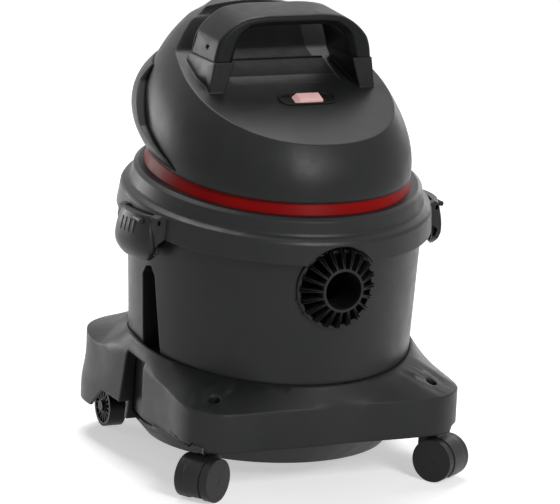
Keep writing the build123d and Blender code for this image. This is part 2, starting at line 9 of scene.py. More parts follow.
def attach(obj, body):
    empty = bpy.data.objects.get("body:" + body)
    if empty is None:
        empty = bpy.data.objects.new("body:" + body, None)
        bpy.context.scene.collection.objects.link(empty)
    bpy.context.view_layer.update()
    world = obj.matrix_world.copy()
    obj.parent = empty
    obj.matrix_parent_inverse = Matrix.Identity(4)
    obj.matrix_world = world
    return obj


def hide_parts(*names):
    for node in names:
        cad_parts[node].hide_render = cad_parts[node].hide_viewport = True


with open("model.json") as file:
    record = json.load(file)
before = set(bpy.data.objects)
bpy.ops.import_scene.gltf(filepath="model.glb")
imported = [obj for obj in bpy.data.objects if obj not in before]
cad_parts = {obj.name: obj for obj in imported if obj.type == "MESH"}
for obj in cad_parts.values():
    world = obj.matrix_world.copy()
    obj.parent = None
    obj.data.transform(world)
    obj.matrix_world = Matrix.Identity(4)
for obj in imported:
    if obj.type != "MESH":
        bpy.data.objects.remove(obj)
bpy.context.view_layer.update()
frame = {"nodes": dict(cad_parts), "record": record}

# ---------------------------------------------------------------- dolly
# The wheeled base: one black polypropylene moulding with a round pan for the tank, a sloping top and an
# open gap in each side. Its faces are finely textured, and its rims are a little polished by handling.
# The tank stands in it.
COAT_ROUGHNESS = 0.12
MOTTLE_SCALE, MOTTLE_DETAIL = 22.0, 5.0
TONE_STOPS = (0.30, 0.72)
RUBBED_SCALE, RUBBED_DETAIL = 70.0, 6.0
RUBBED_RANGE = (0.3, 0.7)
ROUGHNESS_SPREAD = 0.045
PORE_DETAIL = 2.0
PORE_DEPTH = 0.0004
EDGE_SAMPLES = 6


def noise(finish, place, scale, detail):
    cloud = finish.node_tree.nodes.new("ShaderNodeTexNoise")
    cloud.inputs["Scale"].default_value = scale
    cloud.inputs["Detail"].default_value = detail
    finish.node_tree.links.new(place.outputs["Object"], cloud.inputs["Vector"])
    return cloud.outputs["Fac"]


def plastic(
    name, dark, light, rough, grain=0.10, grain_scale=1300.0, edge=0.0012, metal=0.0, coat=0.0, gloss=0.24
):
    finish = bpy.data.materials.new(name)
    finish.use_nodes = True
    nodes, links = finish.node_tree.nodes, finish.node_tree.links
    shader = nodes["Principled BSDF"]
    shader.inputs["Metallic"].default_value = metal
    shader.inputs["Specular IOR Level"].default_value = gloss
    shader.inputs["Coat Weight"].default_value = coat
    shader.inputs["Coat Roughness"].default_value = COAT_ROUGHNESS
    place = nodes.new("ShaderNodeTexCoord")
    tone = nodes.new("ShaderNodeValToRGB")
    for stop, position, colour in zip(tone.color_ramp.elements, TONE_STOPS, (dark, light)):
        stop.position = position
        stop.color = (*colour, 1.0)
    links.new(noise(finish, place, MOTTLE_SCALE, MOTTLE_DETAIL), tone.inputs["Fac"])
    links.new(tone.outputs["Color"], shader.inputs["Base Color"])
    span = nodes.new("ShaderNodeMapRange")
    span.inputs["From Min"].default_value = RUBBED_RANGE[0]
    span.inputs["From Max"].default_value = RUBBED_RANGE[1]
    span.inputs["To Min"].default_value = rough - ROUGHNESS_SPREAD
    span.inputs["To Max"].default_value = rough + ROUGHNESS_SPREAD
    links.new(noise(finish, place, RUBBED_SCALE, RUBBED_DETAIL), span.inputs["Value"])
    links.new(span.outputs["Result"], shader.inputs["Roughness"])
    bump = nodes.new("ShaderNodeBump")
    bump.inputs["Strength"].default_value = grain
    bump.inputs["Distance"].default_value = PORE_DEPTH
    links.new(noise(finish, place, grain_scale, PORE_DETAIL), bump.inputs["Height"])
    if edge:
        soft = nodes.new("ShaderNodeBevel")
        soft.samples = EDGE_SAMPLES
        soft.inputs["Radius"].default_value = edge
        links.new(soft.outputs["Normal"], bump.inputs["Normal"])
    links.new(bump.outputs["Normal"], shader.inputs["Normal"])
    return finish


def take_up(piece):
    bpy.ops.object.select_all(action="DESELECT")
    bpy.context.view_layer.objects.active = piece
    piece.select_set(True)


def pressed(node, name, body):
    piece = bpy.data.objects.new(name, frame["nodes"][node].data.copy())
    bpy.context.scene.collection.objects.link(piece)
    take_up(piece)
    if piece.data.has_custom_normals:
        bpy.ops.mesh.customdata_custom_splitnormals_clear()
    bpy.ops.object.mode_set(mode="EDIT")
    bpy.ops.mesh.select_all(action="SELECT")
    bpy.ops.mesh.remove_doubles(threshold=0.000002)
    bpy.ops.mesh.select_all(action="DESELECT")
    bpy.ops.object.mode_set(mode="OBJECT")
    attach(piece, body)
    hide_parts(node)
    return piece


def move_points(piece, rule):
    for point in piece.data.vertices:
        point.co = rule(point.co)
    piece.data.update()


def close_up(piece, finish, angle=0.6):
    take_up(piece)
    bpy.ops.object.shade_smooth_by_angle(angle=angle)
    piece.data.materials.clear()
    piece.data.materials.append(finish)


def smooth(value, low, high):
    share = max(0.0, min(1.0, (value - low) / (high - low)))
    return share * share * (3.0 - 2.0 * share)


MM = 1000
PAN_CENTRE_Y = 1.5
PAN_RIM = (139.8, 150.0)
REAR_ARMS = (12.0, 85.0)
SKIRT_TO_TOP = (45.0, 100.0)
REAR_TOP_START = (131.0, 134.5)
REAR_TOP_OUT = (134.0, 168.0)
REAR_DROP, REAR_DROP_OUT = 11.0, 5.0
REAR_TUCK, REAR_TUCK_TOP = 3.5, 4.0
CORNER_FROM = (50.0, -50.0, 33.0)
CORNER_HEADING, CORNER_SPREAD, CORNER_PUSH = 0.79, 0.17, 7.0
SOCKET_X, SOCKET_Y = 112.0, -123.0
SOCKET_CLEARANCE = (13.0, 23.0)
HEM_REACH = 140.0
HEM_HEIGHT = (45.0, 50.0)
HEM_FROM_Y, HEM_TO_Y = -140.0, 19.0
HEM_RISE = 6.0
HEM_RISE_ACROSS = (112.0, 134.0)


def dolly_rule(c):
    x, y, z = abs(c.x) * MM, c.y * MM, c.z * MM
    reach = math.hypot(x, y - PAN_CENTRE_Y)
    back = smooth(y, *REAR_ARMS)
    lift = smooth(z, *SKIRT_TO_TOP)
    out = smooth(reach, *REAR_TOP_OUT)
    z -= smooth(reach, *REAR_TOP_START) * back * lift * (REAR_DROP + REAR_DROP_OUT * out)
    x -= back * out * (REAR_TUCK + REAR_TUCK_TOP * lift)
    if x > CORNER_FROM[0] and y < CORNER_FROM[1] and z > CORNER_FROM[2]:
        heading = math.atan2(-y, x)
        clear = smooth(math.hypot(x - SOCKET_X, y - SOCKET_Y), *SOCKET_CLEARANCE)
        near = math.exp(-(((heading - CORNER_HEADING) / CORNER_SPREAD) ** 2))
        push = CORNER_PUSH * near * smooth(reach, *PAN_RIM) * clear
        x += push * math.cos(heading)
        y -= push * math.sin(heading)
    if reach > HEM_REACH and HEM_HEIGHT[0] < z < HEM_HEIGHT[1] and HEM_FROM_Y < y < HEM_TO_Y:
        z += HEM_RISE * smooth(x, *HEM_RISE_ACROSS)
    return Vector((math.copysign(x / MM, c.x), y / MM, z / MM))


dolly_finish = plastic(
    "dolly_black", dark=(0.008, 0.0085, 0.0085), light=(0.014, 0.0145, 0.0145), rough=0.40, edge=0.003
)
dolly_shell = pressed("dolly", "dolly_shell", "base")
move_points(dolly_shell, dolly_rule)
close_up(dolly_shell, dolly_finish)

# ---------------------------------------------------------------- front casters and rear wheels
# Twin-disc furniture casters of black nylon on steel pins, and ribbed nylon rear wheels on stub axles.
# The treads are a little duller than the hoods from rolling.
DISC_OUTSIDE = 0.0174


def dress(finish, *names):
    for name in names:
        for place in frame["nodes"][name].material_slots:
            place.material = finish


wheel_finish = plastic(
    "caster_black", dark=(0.010, 0.010, 0.011), light=(0.018, 0.018, 0.019), rough=0.36
)
dress(wheel_finish, "caster_hood_left", "caster_hood_right")
tread_finish = plastic(
    "tread_black", dark=(0.009, 0.009, 0.010), light=(0.018, 0.018, 0.019), rough=0.42
)
dress(tread_finish, "caster_wheel_left_a", "caster_wheel_left_b")
dress(tread_finish, "caster_wheel_right_a", "caster_wheel_right_b")
dress(tread_finish, "rear_wheel_left", "rear_wheel_right", "rear_axles")
steel_finish = plastic(
    "turned_steel",
    dark=(0.42, 0.43, 0.44),
    light=(0.60, 0.61, 0.62),
    rough=0.30,
    grain=0.05,
    grain_scale=500.0,
    edge=0.0,
    metal=1.0,
)
dress(steel_finish, "caster_stem_left", "caster_stem_right", "caster_axle_left", "caster_axle_right")


def disc_rule(middle, axle):
    def flatten(c):
        along = (c - middle).dot(axle)
        if abs(along) > DISC_OUTSIDE:
            return c - axle * (along - math.copysign(DISC_OUTSIDE, along))
        return c

    return flatten


for side in ("left", "right"):
    joints = frame["record"]["behaviour"]["joints"]
    spin = next(joint for joint in joints if joint["name"] == f"caster_{side}_wheel_a_spin")
    flatten = disc_rule(Vector(spin["pos_m"]), Vector(spin["axis"]).normalized())
    for half in "ab":
        disc = pressed(
            f"caster_wheel_{side}_{half}", f"caster_disc_{side}_{half}", f"caster_{side}_wheel_{half}"
        )
        move_points(disc, flatten)
        close_up(disc, tread_finish)

# ---------------------------------------------------------------- tank
# The round tank: black polypropylene, slightly wider towards its rim, with a satin skin that shows long
# soft reflections. The gaskets at its rim and under the motor are rubber, and so are the filter's band
# and the gland at the rear.
tank_finish = plastic(
    "tank_black", dark=(0.007, 0.0075, 0.0075), light=(0.012, 0.0125, 0.0125), rough=0.36, edge=0.0015
)
dress(tank_finish, "tank")
gasket_finish = plastic(
    "gasket_rubber", dark=(0.010, 0.010, 0.010), light=(0.020, 0.020, 0.020), rough=0.75, edge=0.0
)
dress(gasket_finish, "tank_gasket", "motor_gasket", "foam_band", "cord_gland")

# ---------------------------------------------------------------- hose inlet
# A black moulding with twenty fins between its hub and its flange, pushed through the tank's wall and
# held by a ring nut from inside. A hood on its tube turns the stream down, and the filter's cage is of
# the same plastic.
inlet_finish = plastic(
    "inlet_black", dark=(0.007, 0.007, 0.0075), light=(0.012, 0.012, 0.0125), rough=0.38, edge=0.0008
)
dress(inlet_finish, "inlet_fitting", "inlet_nut", "inlet_deflector", "filter_cage")
INLET_HEIGHT = 0.1943
HUB_RADIUS = 0.0202
FLANGE_BACK_Y = -0.1205
TANK_CENTRE_Y = 0.0017
TANK_RADIUS, TANK_TAPER = 0.1416, 0.035
FIN_STEP = math.radians(18.0)
FIN_HALF, FIN_HALF_PLAY = 0.00085, 0.00006
FIN_WIDER, FIN_WIDER_FROM_TO = 0.00055, (0.0205, 0.0360)
FIN_LONGER, FIN_LONGER_FROM_TO = 0.0018, (0.0300, 0.0360)
FIN_TIP_Y = -0.1505
FIN_SLOPE_FROM_TO = (0.0210, 0.0380)
FIN_STANDS_OUT = 0.0062
FLANGE_RADIUS, FLANGE_STANDS_OUT = 0.0355, 0.0006
POCKET_BACK_Y, POCKET_RADIUS, POCKET_STANDS_OUT = -0.1420, 0.0300, 0.0005
POCKET_FLOOR_Y, POCKET_FLOOR_FROM_TO = -0.1445, (0.0208, 0.0364)
FACING_FRONT = -0.9


def fin_rule(c):
    out = math.hypot(c.x, c.z - INLET_HEIGHT)
    if out < HUB_RADIUS or c.y > FLANGE_BACK_Y:
        return c
    skin = TANK_RADIUS + (c.z - INLET_HEIGHT) * TANK_TAPER
    wall = TANK_CENTRE_Y - math.sqrt(skin * skin - c.x * c.x)
    turn = math.atan2(c.z - INLET_HEIGHT, c.x)
    turn -= round(turn / FIN_STEP) * FIN_STEP
    if abs(abs(out * math.sin(turn)) - FIN_HALF) < FIN_HALF_PLAY:
        spread = FIN_HALF + FIN_WIDER * smooth(out, *FIN_WIDER_FROM_TO)
        middle = math.atan2(c.z - INLET_HEIGHT, c.x) - turn
        turn = math.copysign(math.asin(spread / out), turn)
        out += FIN_LONGER * smooth(out, *FIN_LONGER_FROM_TO)
        c = Vector((out * math.cos(middle + turn), c.y, INLET_HEIGHT + out * math.sin(middle + turn)))
        if c.y < FIN_TIP_Y:
            share = smooth(out, *FIN_SLOPE_FROM_TO)
            return Vector((c.x, c.y + share * (wall - FIN_STANDS_OUT - c.y), c.z))
    if out > FLANGE_RADIUS:
        return Vector((c.x, max(c.y, wall - FLANGE_STANDS_OUT), c.z))
    if c.y > POCKET_BACK_Y and out > POCKET_RADIUS:
        return Vector((c.x, max(c.y, wall - POCKET_STANDS_OUT), c.z))
    return c


inlet_ring = pressed("inlet_fitting", "inlet_ring", "tank_body")
move_points(inlet_ring, fin_rule)
close_up(inlet_ring, inlet_finish, angle=0.75)
# Painted shade: the pocket's floor between the fins gets a near-black finish without gloss, which stands
# in for the shade deep in the pocket.
pocket_shade_paint = plastic(
    "pocket_painted_shade", dark=(0.0010, 0.0010, 0.0010), light=(0.0016, 0.0016, 0.0016), rough=0.60, gloss=0.0
)
inlet_ring.data.materials.append(pocket_shade_paint)
# Mask of the pocket-floor faces that take the painted shade.
for face in inlet_ring.data.polygons:
    out = math.hypot(face.center.x, face.center.z - INLET_HEIGHT)
    shaded_floor = POCKET_FLOOR_FROM_TO[0] < out < POCKET_FLOOR_FROM_TO[1] and face.center.y > POCKET_FLOOR_Y
    if shaded_floor and face.normal.y < FACING_FRONT:
        face.material_index = 1

# ---------------------------------------------------------------- filter and float
# A sleeve of grey polyurethane foam, pulled over the cage below the lid and held by a rubber band. A
# white hollow float ball rises inside the cage and shuts the way to the fan when the tank is full.
foam_finish = plastic(
    "filter_foam",
    dark=(0.020, 0.020, 0.021),
    light=(0.060, 0.060, 0.062),
    rough=0.92,
    grain=0.9,
    grain_scale=420.0,
    edge=0.0,
)
dress(foam_finish, "filter_foam")
ball_finish = plastic(
    "float_white", dark=(0.60, 0.60, 0.58), light=(0.72, 0.72, 0.70), rough=0.30, grain=0.04, edge=0.0
)
dress(ball_finish, "float_ball")

# ---------------------------------------------------------------- lid and latches
# The lid carries the head: a black moulding with a stepped skirt over the tank's rim and a lug either
# side of each latch. The latches are ribbed mouldings that turn on pins in those lugs and close over the
# tank's catches.
lid_finish = plastic(
    "lid_black", dark=(0.009, 0.0095, 0.0095), light=(0.015, 0.0155, 0.0155), rough=0.38, edge=0.0018
)
dress(lid_finish, "lid")
latch_finish = plastic(
    "latch_black", dark=(0.009, 0.009, 0.0095), light=(0.015, 0.015, 0.0155), rough=0.34, edge=0.0015
)
dress(latch_finish, "latch_left", "latch_right")
PIN_MIDDLE, PIN_SHARE = -0.0200, 0.62
LATCH_MIDDLE = -0.0195
LATCH_HALF = 0.0305
LATCH_LOW = 0.2050
LATCH_TOP = 0.2480
LATCH_BACK = 0.1512
LATCH_FACE = 0.1642
LATCH_WALL, LATCH_FRONT_WALL = 0.0026, 0.0034
LATCH_CUTS_ACROSS, LATCH_CUTS_UP = 8, 12
FACING_LID = -0.9
LATCH_FRONT_FROM = 0.156
TOP_NARROWER, TOP_NARROWER_FROM, TOP_NARROWER_POWER = 0.20, 0.45, 1.6
TOE_NARROWER, TOE_NARROWER_TO, TOE_NARROWER_POWER = 0.30, 0.28, 2.2
SIDE_FALL, SIDE_FALL_POWER = 0.0035, 3
TOP_FALL, TOP_FALL_FROM, TOP_FALL_POWER = 0.0050, 0.40, 1.7
TOE_FALL, TOE_FALL_TO, TOE_FALL_POWER = 0.0060, 0.35, 2
LATCH_ROUND, LATCH_ROUND_FROM = 0.0022, 0.1535
RIB_COUNT, RIB_FIRST, RIB_STEP = 4, -0.0105, 0.0070
RIB_SIZE = (0.0040, 0.0030, 0.0125)
RIB_X, RIB_Z = 0.1620, 0.2352
RIB_ROUND = 0.0009
RIB_LEAN, RIB_LEAN_FROM, RIB_LEAN_OVER = 0.0022, 0.2300, 0.012
LID_RADIUS = 0.150
LUG_BACK, LUG_FACE, LUG_DEPTH = 0.1515, 0.1575, 0.0105
LUG_Y, LUG_Z = (-0.062, 0.022), (0.205, 0.262)
LID_CENTRE = Vector((0.0, 0.00131, 0.24915))
LID_UP = Vector((0.0, -0.1142, 0.9935)).normalized()
LID_PROFILE = [
    # height and radius of a corner as moulded, then of the same corner with crisper steps, in millimetres
    (-15.5, 150.4, -15.5, 150.4),
    (3.7, 148.2, 3.9, 148.3),
    (5.9, 147.0, 6.6, 146.7),
    (14.5, 138.6, 9.4, 141.0),
    (15.9, 137.7, 11.6, 139.6),
    (24.1, 134.6, 22.8, 137.4),
    (25.5, 133.2, 25.5, 133.2),
]
PROFILE_HEIGHT_PLAY, PROFILE_RADIUS_PLAY = 0.01, 0.25
SHARP_EDGE = 0.5


def round_edges(piece, wanted, offset, segments):
    take_up(piece)
    bpy.ops.object.mode_set(mode="EDIT")
    bpy.ops.mesh.select_mode(type="EDGE")
    bpy.ops.mesh.select_all(action="DESELECT")
    shape = bmesh.from_edit_mesh(piece.data)
    for edge in shape.edges:
        if len(edge.link_faces) == 2 and edge.calc_face_angle(0.0) > SHARP_EDGE:
            edge.select_set(wanted(edge.verts[0].co, edge.verts[1].co))
    bmesh.update_edit_mesh(piece.data)
    bpy.ops.mesh.bevel(offset=offset, segments=segments, affect="EDGES", clamp_overlap=True)
    bpy.ops.object.mode_set(mode="OBJECT")


def cut_across(piece, normal, stations):
    take_up(piece)
    bpy.ops.object.mode_set(mode="EDIT")
    for station in stations:
        bpy.ops.mesh.select_all(action="SELECT")
        bpy.ops.mesh.bisect(plane_co=[station * n for n in normal], plane_no=normal)
    bpy.ops.object.mode_set(mode="OBJECT")


def above(value, start, power):
    return max(0.0, (value - start) / (1.0 - start)) ** power


def below(value, end, power):
    return max(0.0, (end - value) / end) ** power


def round_the_lid(y):
    return LID_RADIUS - math.sqrt(LID_RADIUS * LID_RADIUS - y * y)


def pin_rule(c):
    return Vector((c.x, PIN_MIDDLE + (c.y - PIN_MIDDLE) * PIN_SHARE, c.z))


def latch_rule(c):
    up = (c.z - LATCH_LOW) / (LATCH_TOP - LATCH_LOW)
    narrower = TOP_NARROWER * above(up, TOP_NARROWER_FROM, TOP_NARROWER_POWER)
    width = 1.0 - narrower - TOE_NARROWER * below(up, TOE_NARROWER_TO, TOE_NARROWER_POWER)
    y = LATCH_MIDDLE + (c.y - LATCH_MIDDLE) * width
    x = c.x
    if x > LATCH_FRONT_FROM:
        side = abs(c.y - LATCH_MIDDLE) / LATCH_HALF
        x -= SIDE_FALL * side**SIDE_FALL_POWER + TOP_FALL * above(up, TOP_FALL_FROM, TOP_FALL_POWER)
        x -= TOE_FALL * below(up, TOE_FALL_TO, TOE_FALL_POWER)
    return Vector((x - round_the_lid(y), y, c.z))


def rib_rule(c):
    lean = RIB_LEAN * max(0.0, c.z - RIB_LEAN_FROM) / RIB_LEAN_OVER
    return Vector((c.x - round_the_lid(c.y) - lean, c.y, c.z))


def latch_front(a, b):
    return min(a.x + round_the_lid(a.y), b.x + round_the_lid(b.y)) > LATCH_ROUND_FROM


def lug_rule(c):
    if abs(c.x) > LUG_BACK and LUG_Z[0] < c.z < LUG_Z[1] and LUG_Y[0] < c.y < LUG_Y[1]:
        x = LUG_BACK + (abs(c.x) - LUG_BACK) * (LUG_FACE - LUG_BACK) / LUG_DEPTH
        return Vector((math.copysign(min(x, LUG_FACE) - round_the_lid(c.y), c.x), c.y, c.z))
    return c


def step_rule(c):
    height = (c - LID_CENTRE).dot(LID_UP)
    across = c - LID_CENTRE - LID_UP * height
    out = across.length
    for low, high in zip(LID_PROFILE, LID_PROFILE[1:]):
        if low[0] - PROFILE_HEIGHT_PLAY <= height * MM <= high[0] + PROFILE_HEIGHT_PLAY:
            share = (height * MM - low[0]) / (high[0] - low[0])
            old, level, reach = [low[k] + share * (high[k] - low[k]) for k in (1, 2, 3)]
            if abs(out * MM - old) < PROFILE_RADIUS_PLAY:
                return LID_CENTRE + LID_UP * (level / MM) + across * (reach / MM / out)
    return c


def block(place, size):
    bpy.ops.object.select_all(action="DESELECT")
    bpy.ops.mesh.primitive_cube_add(size=1.0, location=place, scale=size)
    bpy.ops.object.transform_apply(location=True, rotation=False, scale=True)
    return bpy.context.object


def rib(y):
    piece = block((RIB_X, y, RIB_Z), RIB_SIZE)
    bpy.ops.object.mode_set(mode="EDIT")
    bpy.ops.mesh.select_all(action="SELECT")
    bpy.ops.mesh.bevel(offset=RIB_ROUND, segments=2, affect="EDGES")
    bpy.ops.object.mode_set(mode="OBJECT")
    move_points(piece, rib_rule)
    return piece


def ribbed_latch(name, node, body, side):
    depth, height = LATCH_FACE - LATCH_BACK, LATCH_TOP - LATCH_LOW
    middle = ((LATCH_BACK + LATCH_FACE) / 2, LATCH_MIDDLE, (LATCH_LOW + LATCH_TOP) / 2)
    piece = block(middle, (depth, 2 * LATCH_HALF, height))
    piece.name = name
    bpy.ops.object.mode_set(mode="EDIT")
    bpy.ops.mesh.select_mode(type="FACE")
    bpy.ops.mesh.select_all(action="DESELECT")
    shape = bmesh.from_edit_mesh(piece.data)
    for face in shape.faces:
        face.select_set(face.normal.x < FACING_LID)
    bmesh.update_edit_mesh(piece.data)
    bpy.ops.mesh.inset(thickness=LATCH_WALL)
    hollow = (depth - LATCH_FRONT_WALL, 0.0, 0.0)
    bpy.ops.mesh.extrude_region_move(TRANSFORM_OT_translate={"value": hollow})
    bpy.ops.object.mode_set(mode="OBJECT")
    across = range(1 - LATCH_CUTS_ACROSS, LATCH_CUTS_ACROSS)
    upright = [LATCH_MIDDLE + LATCH_HALF * k / LATCH_CUTS_ACROSS for k in across]
    level = [LATCH_LOW + height * k / LATCH_CUTS_UP for k in range(1, LATCH_CUTS_UP)]
    cut_across(piece, (0.0, 1.0, 0.0), upright)
    cut_across(piece, (0.0, 0.0, 1.0), level)
    move_points(piece, latch_rule)
    round_edges(piece, latch_front, offset=LATCH_ROUND, segments=3)
    for k in range(RIB_COUNT):
        bar = rib(LATCH_MIDDLE + RIB_FIRST + RIB_STEP * k)
        take_up(piece)
        bar.select_set(True)
        bpy.ops.object.join()
    move_points(piece, lambda c: Vector((c.x * side, c.y, c.z)))
    bpy.ops.object.mode_set(mode="EDIT")
    bpy.ops.mesh.select_all(action="SELECT")
    bpy.ops.mesh.normals_make_consistent(inside=False)
    bpy.ops.object.mode_set(mode="OBJECT")
    close_up(piece, latch_finish, angle=0.7)
    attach(piece, body)
    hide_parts(node)


pins = pressed("latch_pins", "latch_pin_pair", "head")
move_points(pins, pin_rule)
close_up(pins, latch_finish)
ribbed_latch("latch_shell_left", "latch_left", "latch_left_body", -1)
ribbed_latch("latch_shell_right", "latch_right", "latch_right_body", 1)
lid_shell = pressed("lid", "lid_shell", "head")
move_points(lid_shell, step_rule)
move_points(lid_shell, lug_rule)
close_up(lid_shell, lid_finish, angle=0.28)
dress(steel_finish, "housing_screws", "motor_screws", "switch_pin")

# ---------------------------------------------------------------- motor
# A through-flow vacuum motor: zinc-plated fan housing and frame, aluminium impeller, laminated stator and
# armature, enamelled copper coils and carbon brushes in brass holders. It is clamped between the lid's
# well and the housing.


def metal(name, dark, light, rough, grain, grain_scale, share=1.0):
    return plastic(name, dark, light, rough, grain, grain_scale, edge=0.0, metal=share)


zinc_finish = metal(
    "zinc_steel",
    dark=(0.45, 0.46, 0.46),
    light=(0.62, 0.63, 0.62),
    rough=0.32,
    grain=0.08,
    grain_scale=260.0,
)
dress(zinc_finish, "fan_housing", "motor_frame")
impeller_finish = metal(
    "fan_aluminium",
    dark=(0.62, 0.63, 0.64),
    light=(0.78, 0.79, 0.79),
    rough=0.28,
    grain=0.05,
    grain_scale=300.0,
)
dress(impeller_finish, "impeller")
iron_finish = metal(
    "lamination_iron",
    dark=(0.16, 0.16, 0.17),
    light=(0.26, 0.26, 0.27),
    rough=0.45,
    grain=0.3,
    grain_scale=900.0,
)
dress(iron_finish, "stator", "armature")
dress(steel_finish, "motor_shaft", "fan_nut", "bearing_lower", "bearing_upper")
copper_finish = metal(
    "enamelled_copper",
    dark=(0.42, 0.16, 0.07),
    light=(0.60, 0.26, 0.12),
    rough=0.33,
    grain=0.3,
    grain_scale=700.0,
    share=0.8,
)
dress(copper_finish, "field_coils", "commutator")
brass_finish = metal(
    "brass_strip",
    dark=(0.55, 0.42, 0.18),
    light=(0.66, 0.52, 0.26),
    rough=0.34,
    grain=0.1,
    grain_scale=400.0,
)
dress(brass_finish, "brush_holders")
carbon_finish = plastic(
    "brush_carbon",
    dark=(0.020, 0.020, 0.020),
    light=(0.050, 0.050, 0.050),
    rough=0.70,
    grain=0.3,
    edge=0.0,
)
dress(carbon_finish, "brushes")

# ---------------------------------------------------------------- trim ring
# A saturated red ring, moulded in gloss ABS and clipped between the lid and the housing. It lies a little
# deeper under the cover at the front than at the sides.
RING_CENTRE_Y = 0.0015
RING_SHRINK = 0.030
RING_FRONT = (-0.060, 0.110)
ring_finish = plastic(
    "ring_red",
    dark=(0.21, 0.003, 0.003),
    light=(0.27, 0.005, 0.004),
    rough=0.36,
    grain=0.03,
    edge=0.001,
    gloss=0.06,
)
dress(ring_finish, "trim_ring")


def recess_rule(c):
    share = 1.0 - RING_SHRINK * smooth(-c.y, *RING_FRONT)
    return Vector((c.x * share, RING_CENTRE_Y + (c.y - RING_CENTRE_Y) * share, c.z))


red_band = pressed("trim_ring", "red_band", "head")
move_points(red_band, recess_rule)
close_up(red_band, ring_finish)

# ---------------------------------------------------------------- housing, cowl and handle
# The motor cover is one large black moulding with a flat sloping deck and the handle's two feet; the cowl
# guides the exhaust round its sides, and the grip closes the handle above a seam. Screws from below the
# lid hold them.
housing_finish = plastic(
    "housing_black",
    dark=(0.011, 0.0115, 0.0115),
    light=(0.018, 0.0185, 0.0185),
    rough=0.37,
    edge=0.0025,
    gloss=0.17,
)
dress(housing_finish, "housing", "exhaust_cowl")
DECK_SLOPE, DECK_FRONT_Y, DECK_FRONT_Z = 0.37, -0.114, 0.323
FOOT_MIDDLE_Y, FOOT_DEEPER, FOOT_WIDER = -0.024, 1.18, 1.045
FOOT_X, FOOT_HALF_DEPTH, FOOT_TOP = (0.0575, 0.084), 0.0245, 0.386
FOOT_UNDER_DECK, FOOT_OVER_DECK = 0.0006, 0.0007
HUMP_FROM_Y, HUMP_FROM_Z, HUMP_CROWN = 0.04, 0.408, 0.017
HUMP_DROP, HUMP_DROP_SIDE, HUMP_HALF = 0.0004, 0.0050, 0.046
FRONT_Y, FRONT_Y_LIMIT = -0.0238, -0.0243
FOOT_OUTER_X, FOOT_INNER_X = 0.078, 0.068
UPRIGHT_LENGTH, SEAM_Z = 0.012, 0.3852
COVER_CUTS_X = [x / MM for x in (-46, -40, -32, -24, -16, -8, 0, 8, 16, 24, 32, 40, 46)]
PANEL_CUTS_Y = [0.004, 0.060]
PANEL_HALF, PANEL_Y, PANEL_LOW, PANEL_UPWARD = 0.052, (0.004, 0.0785), 0.34, 0.975


def post_place(c):
    return Vector((c.x * FOOT_WIDER, FOOT_MIDDLE_Y + (c.y - FOOT_MIDDLE_Y) * FOOT_DEEPER, c.z))


def cover_rule(c):
    deck = DECK_FRONT_Z + DECK_SLOPE * (c.y - DECK_FRONT_Y)
    in_foot = FOOT_X[0] < abs(c.x) < FOOT_X[1] and abs(c.y) < FOOT_HALF_DEPTH
    if in_foot and deck - FOOT_UNDER_DECK < c.z < FOOT_TOP:
        moved = post_place(c)
        if c.z < deck + FOOT_OVER_DECK:
            moved.z += DECK_SLOPE * (moved.y - c.y)
        return moved
    if c.z > HUMP_FROM_Z and c.y > HUMP_FROM_Y:
        share = min(1.0, (c.z - HUMP_FROM_Z) / HUMP_CROWN)
        drop = (HUMP_DROP + HUMP_DROP_SIDE * (c.x / HUMP_HALF) ** 2) * share * share * (3 - 2 * share)
        return Vector((c.x, c.y, c.z - drop))
    return c


def foot_edge(a, b):
    return max(a.y, b.y) < FRONT_Y and abs(a.z - b.z) > UPRIGHT_LENGTH and max(a.z, b.z) < SEAM_Z


def post_edge_outer(a, b):
    return foot_edge(a, b) and min(abs(a.x), abs(b.x)) > FOOT_OUTER_X


def post_edge_inner(a, b):
    return foot_edge(a, b) and min(a.y, b.y) > FRONT_Y_LIMIT and max(abs(a.x), abs(b.x)) < FOOT_INNER_X


cover = pressed("housing", "motor_cover", "head")
cut_across(cover, (1.0, 0.0, 0.0), COVER_CUTS_X)
cut_across(cover, (0.0, 1.0, 0.0), PANEL_CUTS_Y)
move_points(cover, cover_rule)
round_edges(cover, post_edge_inner, offset=0.0052, segments=1)
round_edges(cover, post_edge_outer, offset=0.0034, segments=3)
close_up(cover, housing_finish)
panel_finish = plastic(
    "panel_black",
    dark=(0.006, 0.006, 0.006),
    light=(0.011, 0.011, 0.011),
    rough=0.62,
    grain=0.6,
    grain_scale=700.0,
    edge=0.0025,
    gloss=0.08,
)
cover.data.materials.append(panel_finish)
for face in cover.data.polygons:
    across, depth, height = face.center
    if abs(across) < PANEL_HALF and PANEL_Y[0] < depth < PANEL_Y[1] and height > PANEL_LOW:
        if face.normal.z < PANEL_UPWARD:
            face.material_index = 1
grip_finish = plastic(
    "grip_black",
    dark=(0.007, 0.0075, 0.0075),
    light=(0.011, 0.0115, 0.0115),
    rough=0.38,
    edge=0.003,
    gloss=0.12,
)
dress(grip_finish, "handle_grip")
GRIP_FALL, GRIP_FALL_POWER, GRIP_FALL_Z = 0.0085, 1.7, (0.386, 0.430)
GRIP_LEVEL_HALF, GRIP_FALL_WIDTH = 0.026, 0.046
GRIP_BULGE, GRIP_BULGE_FROM_Z, GRIP_BULGE_HEIGHT, GRIP_BULGE_X = 0.0022, 0.3865, 0.040, (0.046, 0.060)
WINDOW_TOP, WINDOW_HALF, WINDOW_SPLAY = 0.4175, 0.0485, 0.303
WINDOW_PLAY, WINDOW_TOP_PLAY = 0.0006, 0.0002
GRIP_FOOT_Z = 0.38485


